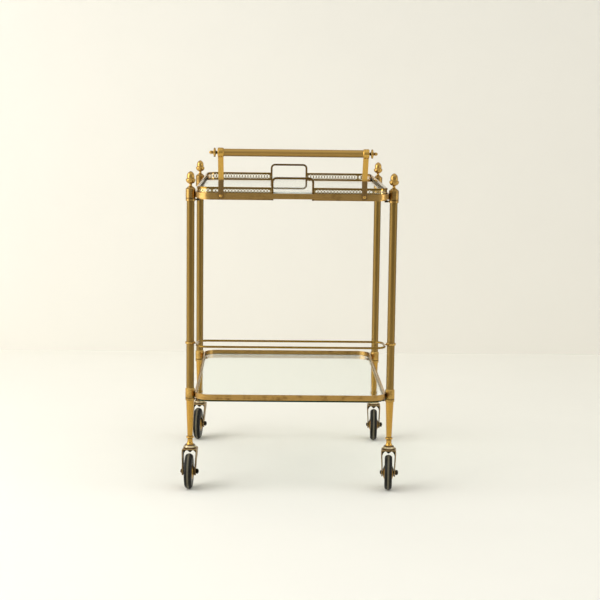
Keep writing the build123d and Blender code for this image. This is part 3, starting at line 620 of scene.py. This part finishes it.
class CART_OT_casters(bpy.types.Operator):
    """Caster forks, swivel pins and axle bolts"""

    bl_idname = "cart.casters"
    bl_label = "Casters"
    bl_options = {"REGISTER", "UNDO"}

    def execute(self, context):
        finishes = context.scene.cart_finishes
        crown_top = top_of(CORNERS[0] + "_caster_fork")
        # Black grease on the axle bolts, and painted shade in the forks and on the pin
        grease_and_shade = tuple(finishes.grease_and_shade)
        # The tarnish brown, used here as painted shade on the race
        tarnish = tuple(finishes.tarnish)
        for corner, centre, axle in wheel_axes():

            def fork_inner_shade(tree, base):
                """Tan plating outside, and painted shade on the faces towards the wheel"""
                parts = along_axes(tree, wheel_place(tree, centre, axle))
                gap = ramp(tree, parts[2], FORK_BEND_LOW, FORK_BEND_HIGH,
                           FORK_GAP_LOW, FORK_GAP_HIGH)
                beyond = minus(tree, unsigned(tree, parts[0]), gap)
                between = ramp(tree, beyond, ARM_SHADE_ENDS, ARM_SHADE_FULL)
                crown = crown_top - centre[2] - CROWN_THICKNESS
                below = ramp(tree, parts[2], crown + CROWN_SHADE_ENDS, crown + CROWN_SHADE_FULL)
                return blend_colour(tree, times(tree, between, below), base, grease_and_shade)

            fork = metal(corner + " fork plating", tuple(finishes.caster_brass),
                         grain=(300.0, 300.0, 60.0), roughness=(0.30, 0.46), cover=0.45,
                         stain=tuple(finishes.grime), wear=1.0, recess=6.0, tint=fork_inner_shade)
            dress(fork, corner + "_caster_fork")
        soften(finishes.edge_rounding, *each("caster_fork"))

        def race_shade_bands(tree, base):
            """Bright on the race's cone, with painted shade: brown on its lip and top, and black on
            the pin below
            """
            height = minus(tree, height_in(tree), crown_top)
            lip = blend_colour(tree, ramp(tree, height, RACE_LIP, RACE_LIP_TOP), tarnish, base)
            top = blend_colour(tree, ramp(tree, height, RACE_CONE_TOP, RACE_TOP), lip, tarnish)
            return blend_colour(tree, ramp(tree, height, 0.0, PIN_BLACK_BELOW), top, grease_and_shade)

        pins = metal("swivel race nickel", tuple(finishes.race_steel),
                     grain=(80.0, 80.0, 1600.0), roughness=(0.16, 0.26), cover=0.5, recess=2.5,
                     tint=race_shade_bands)
        dress(pins, *each("caster_stem"))
        bolts = metal("axle steel", tuple(finishes.steel), grain=(200.0, 200.0, 200.0),
                      roughness=(0.34, 0.5), cover=0.6, stain=grease_and_shade)
        dress(bolts, *each("axle_bolt"))
        return {"FINISHED"}


class CART_OT_wheels(bpy.types.Operator):
    """Brass hubs with turning marks and black tyres with a paler tread band"""

    bl_idname = "cart.wheels"
    bl_label = "Wheels"
    bl_options = {"REGISTER", "UNDO"}

    def execute(self, context):
        finishes = context.scene.cart_finishes
        for corner, centre, axle in wheel_axes():

            def round_axle(tree):
                return turned_place(tree, wheel_place(tree, centre, axle))[0]

            hub = metal(corner + " hub brass", tuple(finishes.polished_brass),
                        grain=(1400.0, 1400.0, 1.0), roughness=(0.24, 0.38), cover=0.3,
                        place=round_axle)
            dress(hub, corner + "_wheel_hub")
            dress(rubber(corner + " tyre rubber", centre, axle), corner + "_tyre")
        return {"FINISHED"}


class CART_OT_strips(bpy.types.Operator):
    """The flat strips round the two tiers, and their screws"""

    bl_idname = "cart.strips"
    bl_label = "Strips"
    bl_options = {"REGISTER", "UNDO"}

    def execute(self, context):
        finishes = context.scene.cart_finishes
        strips = metal("strip brass", tuple(finishes.strip_brass), grain=(14.0, 14.0, 1500.0),
                       roughness=(0.24, 0.36), cover=0.35, wear=1.0)
        dress(strips, "upper_strip", "lower_strip")
        soften(finishes.edge_rounding, "upper_strip", "lower_strip")
        screws = metal("screw brass", tuple(finishes.strip_brass), grain=(300.0, 300.0, 300.0),
                       roughness=(0.28, 0.4), cover=0.7, wear=1.0)
        dress(screws, "strip_screws")
        return {"FINISHED"}


class CART_OT_glass(bpy.types.Operator):
    """The two panes of clear glass"""

    bl_idname = "cart.glass"
    bl_label = "Glass"
    bl_options = {"REGISTER", "UNDO"}

    def execute(self, context):
        finishes = context.scene.cart_finishes
        shelf = clear_glass("shelf clear glass", edge_colour=tuple(finishes.shelf_edge),
                            edge_roughness=0.12, density=5.0, sheen=tuple(finishes.shelf_sheen))
        dress(shelf, "shelf_glass")
        tray = clear_glass("tray clear glass", edge_colour=tuple(finishes.tray_edge),
                           edge_roughness=0.55, density=4.0, frost=0.85)
        dress(tray, "tray_glass")
        return {"FINISHED"}


class CART_OT_pegs(bpy.types.Operator):
    """The pegs that carry the glass and the tray, in rubber sleeves"""

    bl_idname = "cart.pegs"
    bl_label = "Pegs"
    bl_options = {"REGISTER", "UNDO"}

    def execute(self, context):
        finishes = context.scene.cart_finishes
        pegs = metal("peg brass", tuple(finishes.strip_brass), grain=(40.0, 900.0, 900.0),
                     roughness=(0.28, 0.4), cover=0.6)
        dress(pegs, "support_pegs")
        dress(rubber("peg sleeve rubber"), "peg_sleeves")
        return {"FINISHED"}


BEAD_HEIGHT = 4.1 * MM
BEAD_SHADE = 0.3 * MM


class CART_OT_tray(bpy.types.Operator):
    """The tray's rim and pierced gallery"""

    bl_idname = "cart.tray"
    bl_label = "Tray"
    bl_options = {"REGISTER", "UNDO"}

    def execute(self, context):
        finishes = context.scene.cart_finishes
        rim = metal("tray rim brass", tuple(finishes.strip_brass), grain=(14.0, 14.0, 1500.0),
                    roughness=(0.24, 0.36), cover=0.4, wear=1.0)
        dress(rim, *both_sides("tray_rim"))
        soften(0.5 * finishes.edge_rounding, *both_sides("tray_rim"))
        bead_bottom = top_of("gallery_left") - BEAD_HEIGHT
        worn_and_lit_web_brass = tuple(finishes.worn_and_lit_web_brass)

        def web_wear_and_highlight(tree, base):
            """Pale and thin between the holes, partly rubbed bright and partly a painted highlight,
            and browner on the bead above them
            """
            web = ramp(tree, height_in(tree), bead_bottom + BEAD_SHADE, bead_bottom)
            return blend_colour(tree, web, base, worn_and_lit_web_brass)

        gallery = metal("gallery brass", tuple(finishes.gallery_brass),
                        grain=(160.0, 160.0, 700.0), roughness=(0.08, 0.14), cover=0.0,
                        recess=0.8, bump=0.04, tint=web_wear_and_highlight)
        dress(gallery, *both_sides("gallery"))
        return {"FINISHED"}


class CART_OT_tray_handles(bpy.types.Operator):
    """The tray's two wire handles"""

    bl_idname = "cart.tray_handles"
    bl_label = "Tray handles"
    bl_options = {"REGISTER", "UNDO"}

    def execute(self, context):
        finishes = context.scene.cart_finishes
        wire = metal("tray handle wire", tuple(finishes.handle_wire_brass),
                     grain=(60.0, 500.0, 60.0), roughness=(0.24, 0.36), cover=0.5)
        dress(wire, "tray_handle_front", "tray_handle_rear")
        return {"FINISHED"}


BEND_HEIGHT = 0.66
BEND_UNEVENNESS = 8.0 * MM
# How much of the tarnish brown the grip tube's painted underside shade takes
UNDERSIDE_SHADE = 0.6


class CART_OT_push_handle(bpy.types.Operator):
    """The push handle: uprights, grip tube, end knobs and screws"""

    bl_idname = "cart.push_handle"
    bl_label = "Push handle"
    bl_options = {"REGISTER", "UNDO"}

    def execute(self, context):
        finishes = context.scene.cart_finishes
        # The brown painted below the uprights' bend as a darker reflection
        brown = tuple(finishes.upright_dark_reflection)
        # The tarnish brown, used here as painted shade under the grip tube
        tarnish = tuple(finishes.tarnish)

        def dark_reflection_below_bend(tree, base):
            """Painted reflection: browner below the bend, with an uneven edge"""
            uneven = times(tree, noise(tree, object_place(tree), scale=160.0), BEND_UNEVENNESS)
            height = plus(tree, height_in(tree), uneven)
            below = ramp(tree, height, BEND_HEIGHT + BEND_UNEVENNESS, BEND_HEIGHT)
            return blend_colour(tree, below, base, brown)

        uprights = metal("upright brass", tuple(finishes.upright_brass),
                         grain=(700.0, 40.0, 14.0), roughness=(0.20, 0.32), cover=0.25, wear=1.0,
                         tint=dark_reflection_below_bend)
        dress(uprights, *both_sides("handle_upright"))
        soften(finishes.edge_rounding, *both_sides("handle_upright"))
        low = bottom_of("handle_grip_tube")
        middle = 0.5 * (low + top_of("handle_grip_tube"))

        def underside_shade(tree, base):
            """Painted shade: browner on the tube's underside"""
            below = ramp(tree, height_in(tree), middle, low, 0.0, UNDERSIDE_SHADE)
            return blend_colour(tree, below, base, tarnish)

        grip = metal("grip tube brass", tuple(finishes.grip_brass), grain=(5.0, 900.0, 900.0),
                     roughness=(0.28, 0.40), cover=0.15, bump=0.5, tint=underside_shade)
        dress(grip, "handle_grip_tube")
        knobs = metal("knob polished brass", tuple(finishes.polished_brass),
                      grain=(1500.0, 50.0, 50.0), roughness=(0.14, 0.24), cover=0.35,
                      stain=tuple(finishes.grime), recess=8.0, bump=0.2)
        dress(knobs, "handle_knobs")
        screws = metal("handle screw brass", tuple(finishes.polished_brass),
                       grain=(200.0, 200.0, 200.0), roughness=(0.2, 0.32), cover=0.3, wear=1.0)
        dress(screws, "handle_screws")
        return {"FINISHED"}


class CART_OT_bottle_rail(bpy.types.Operator):
    """The wire loop that keeps bottles upright, and its rings"""

    bl_idname = "cart.bottle_rail"
    bl_label = "Bottle rail"
    bl_options = {"REGISTER", "UNDO"}

    def execute(self, context):
        finishes = context.scene.cart_finishes
        rail = metal("rail wire brass", tuple(finishes.wire_brass), grain=(14.0, 200.0, 700.0),
                     roughness=(0.18, 0.3), cover=0.3)
        dress(rail, "bottle_rail")
        rings = metal("ring brass", tuple(finishes.polished_brass), grain=(60.0, 60.0, 1500.0),
                      roughness=(0.18, 0.3), cover=0.3)
        dress(rings, "bottle_rail_rings")
        return {"FINISHED"}


# The stage, in metres and degrees, with the camera's sensor in millimetres

STAGE_REACH = 9.0
MOTTLE_DARKER = 0.965
# The room's brightness by direction, against 1 level with the cart and behind it
ROOM_LEFT, ROOM_RIGHT = 0.92, 0.88
ROOM_FRONT, ROOM_ABOVE, ROOM_BELOW = 0.58, 1.55, 0.85
ROOM_COLOUR = paint(250, 252, 255)
KEY_LAMP = {"place": (-2.4, -0.9, 1.25), "target": (0.0, 0.0, 0.45), "width": 2.6, "height": 2.4}
SIDE_LAMP = {"place": (2.6, -0.9, 0.72), "target": (0.0, 0.0, 0.6), "width": 0.45, "height": 1.1}
SENSOR_WIDTH = 36.0
CAMERA_X, CAMERA_Y = -0.055315, -3.444664
CAMERA_HEADING, CAMERA_TILT, CAMERA_ROLL = -1.315, 7.896, 0.706


def plane(name, corners, material):
    mesh = bpy.data.meshes.new(name)
    mesh.from_pydata(corners, [], [tuple(range(len(corners)))])
    mesh.materials.append(material)
    made = bpy.data.objects.new(name, mesh)
    bpy.context.scene.collection.objects.link(made)


def matt(name, shade, one_sided=False):
    """A matt paint with a slight mottle. A one-sided one isn't there when seen from behind."""
    material, tree = new_material(name)
    mottle = noise(tree, object_place(tree), scale=3.0, detail=4.0, roughness=0.6)
    darker = tuple(value * MOTTLE_DARKER for value in shade)
    toned = blend_colour(tree, mottle, darker, shade)
    surface = add(tree, "ShaderNodeBsdfDiffuse", {"Color": toned}).outputs[0]
    if one_sided:
        behind = add(tree, "ShaderNodeNewGeometry").outputs["Backfacing"]
        nothing = add(tree, "ShaderNodeBsdfTransparent").outputs[0]
        surface = add(tree, "ShaderNodeMixShader", {0: behind, 1: surface, 2: nothing}).outputs[0]
    finish_tree(tree, surface)
    return material


def lamp(name, watts, place, target, width, height):
    """A soft rectangular lamp that faces its target."""
    light = bpy.data.lights.new(name, "AREA")
    light.shape = "RECTANGLE"
    light.size = width
    light.size_y = height
    light.energy = watts
    made = bpy.data.objects.new(name, light)
    bpy.context.scene.collection.objects.link(made)
    made.location = place
    made.rotation_mode = "QUATERNION"
    made.rotation_quaternion = (Vector(target) - Vector(place)).to_track_quat("-Z", "Y")


def room(stage):
    """Light from all round: brighter above, dimmer in front, below and slightly on the right."""
    world = bpy.data.worlds.new("Room")
    bpy.context.scene.world = world
    world.use_nodes = True
    tree = world.node_tree
    tree.nodes.clear()
    heading = add(tree, "ShaderNodeTexCoord").outputs["Generated"]
    across, along, up = along_axes(tree, heading)
    level = ramp(tree, across, -0.9, 0.9, ROOM_LEFT, ROOM_RIGHT)
    front = ramp(tree, along, -1.0, 0.1, ROOM_FRONT, 1.0)
    above = ramp(tree, up, 0.15, 0.9, 1.0, ROOM_ABOVE)
    below = ramp(tree, up, -0.05, 0.0, ROOM_BELOW, 1.0)
    for part in (front, above, below, stage.sky_strength):
        level = times(tree, level, part)
    light = add(tree, "ShaderNodeBackground",
                {"Color": (*ROOM_COLOUR, 1.0), "Strength": level})
    add(tree, "ShaderNodeOutputWorld", {"Surface": light.outputs[0]})


def camera_turn():
    """The way in which the photo was taken: nearly straight on, a little down, slightly rolled."""
    heading, tilt, roll = map(math.radians, (CAMERA_HEADING, CAMERA_TILT, CAMERA_ROLL))
    ahead = Vector((-math.sin(heading), math.cos(heading), 0.0))
    level_right = Vector((math.cos(heading), math.sin(heading), 0.0))
    look = ahead * math.cos(tilt) - Vector((0.0, 0.0, math.sin(tilt)))
    level_up = level_right.cross(look)
    right = level_right * math.cos(roll) + level_up * math.sin(roll)
    up = level_up * math.cos(roll) - level_right * math.sin(roll)
    return Matrix((right, up, -look)).transposed().to_4x4()


class CART_OT_stage(bpy.types.Operator):
    """A plain pale floor and wall, soft lamps and the camera"""

    bl_idname = "cart.stage"
    bl_label = "Stage"
    bl_options = {"REGISTER", "UNDO"}

    def execute(self, context):
        scene = context.scene
        stage = scene.cart_stage
        left, right, far = -STAGE_REACH, STAGE_REACH, STAGE_REACH
        front, back = -stage.floor_front, stage.wall_distance
        plane("stage_floor", [(left, front, 0), (right, front, 0), (right, far, 0), (left, far, 0)],
              matt("floor paint", tuple(stage.floor)))
        plane("stage_wall",
              [(left, back, 0), (right, back, 0), (right, back, far), (left, back, far)],
              matt("wall paint", tuple(stage.wall), one_sided=True))
        room(stage)
        lamp("key lamp", stage.key_power, **KEY_LAMP)
        lamp("side lamp", stage.side_power, **SIDE_LAMP)
        data = bpy.data.cameras.new("camera")
        data.sensor_width = SENSOR_WIDTH
        data.lens = stage.lens
        camera = bpy.data.objects.new("camera", data)
        scene.collection.objects.link(camera)
        place = Matrix.Translation((CAMERA_X, CAMERA_Y, stage.camera_height))
        camera.matrix_world = place @ camera_turn()
        scene.camera = camera
        scene.view_settings.view_transform = "Standard"
        return {"FINISHED"}


PIECES = (CART_OT_legs, CART_OT_collars, CART_OT_finials, CART_OT_feet, CART_OT_casters,
          CART_OT_wheels, CART_OT_strips, CART_OT_glass, CART_OT_pegs, CART_OT_tray,
          CART_OT_tray_handles, CART_OT_push_handle, CART_OT_bottle_rail, CART_OT_stage)


class CART_PT_cart(bpy.types.Panel):
    """The cart's finishes, its stage and the buttons that make them"""

    bl_idname = "CART_PT_cart"
    bl_label = "Bar cart"
    bl_space_type = "VIEW_3D"
    bl_region_type = "UI"
    bl_category = "Bar cart"

    def draw(self, context):
        for group in (context.scene.cart_finishes, context.scene.cart_stage):
            column = self.layout.column(align=True)
            for name in type(group).__annotations__:
                column.prop(group, name)
        for piece in PIECES:
            self.layout.operator(piece.bl_idname)


CLASSES = (CartFinishes, CartStage, *PIECES, CART_PT_cart)


def register():
    for item in CLASSES:
        bpy.utils.register_class(item)
    bpy.types.Scene.cart_finishes = PointerProperty(type=CartFinishes)
    bpy.types.Scene.cart_stage = PointerProperty(type=CartStage)


def unregister():
    del bpy.types.Scene.cart_stage
    del bpy.types.Scene.cart_finishes
    for item in reversed(CLASSES):
        bpy.utils.unregister_class(item)


def main():
    register()
    for piece in PIECES:
        group, name = piece.bl_idname.split(".")
        getattr(getattr(bpy.ops, group), name)()


if __name__ == "__main__":
    main()
